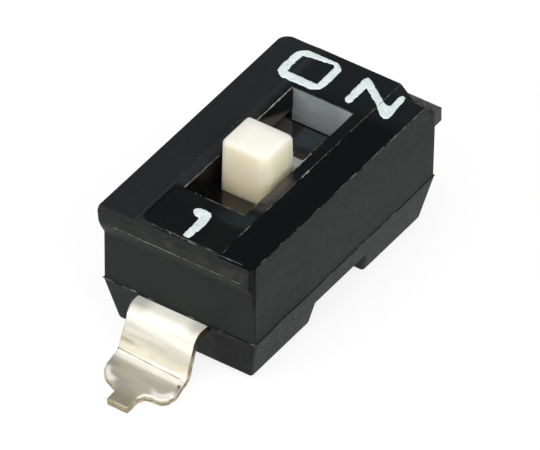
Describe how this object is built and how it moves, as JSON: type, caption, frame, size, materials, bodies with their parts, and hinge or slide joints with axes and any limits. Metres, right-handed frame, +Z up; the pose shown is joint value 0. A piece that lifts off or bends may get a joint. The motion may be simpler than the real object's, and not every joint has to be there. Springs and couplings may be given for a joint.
{
  "type": "slide dip switch",
  "caption": "Surface-mount slide DIP switch: black moulded housing, ivory sliding knob in a top slot, folded gull-wing terminal at each end.",
  "frame": {"origin": "on the mounting plane, under the middle of the body and midway between the two terminal tips", "axes": "+Y along the knob's travel towards the ON end, +Z up out of the slot, +X across the body"},
  "size_m": [0.0038, 0.0104, 0.0038],
  "materials": {
    "cover_plastic": "moulded black, satin",
    "base_plastic": "moulded black, satin",
    "slider_plastic": "moulded ivory, semi-gloss",
    "contact_plate": "gold-plated spring strip",
    "terminal_plate": "tin-plated strip with bare cut edges"
  },
  "bodies": {
    "housing": {"cover": "cover_plastic", "base": "base_plastic", "front_terminal": "terminal_plate", "rear_terminal": "terminal_plate"},
    "slide_knob": {"slider": "slider_plastic", "moving_contact": "contact_plate"}
  },
  "joints": [
    {"name": "knob_slide", "type": "slide", "parent": "housing", "child": "slide_knob", "axis": [0, 1, 0], "range_m": [0, 0.00086]}
  ]
}
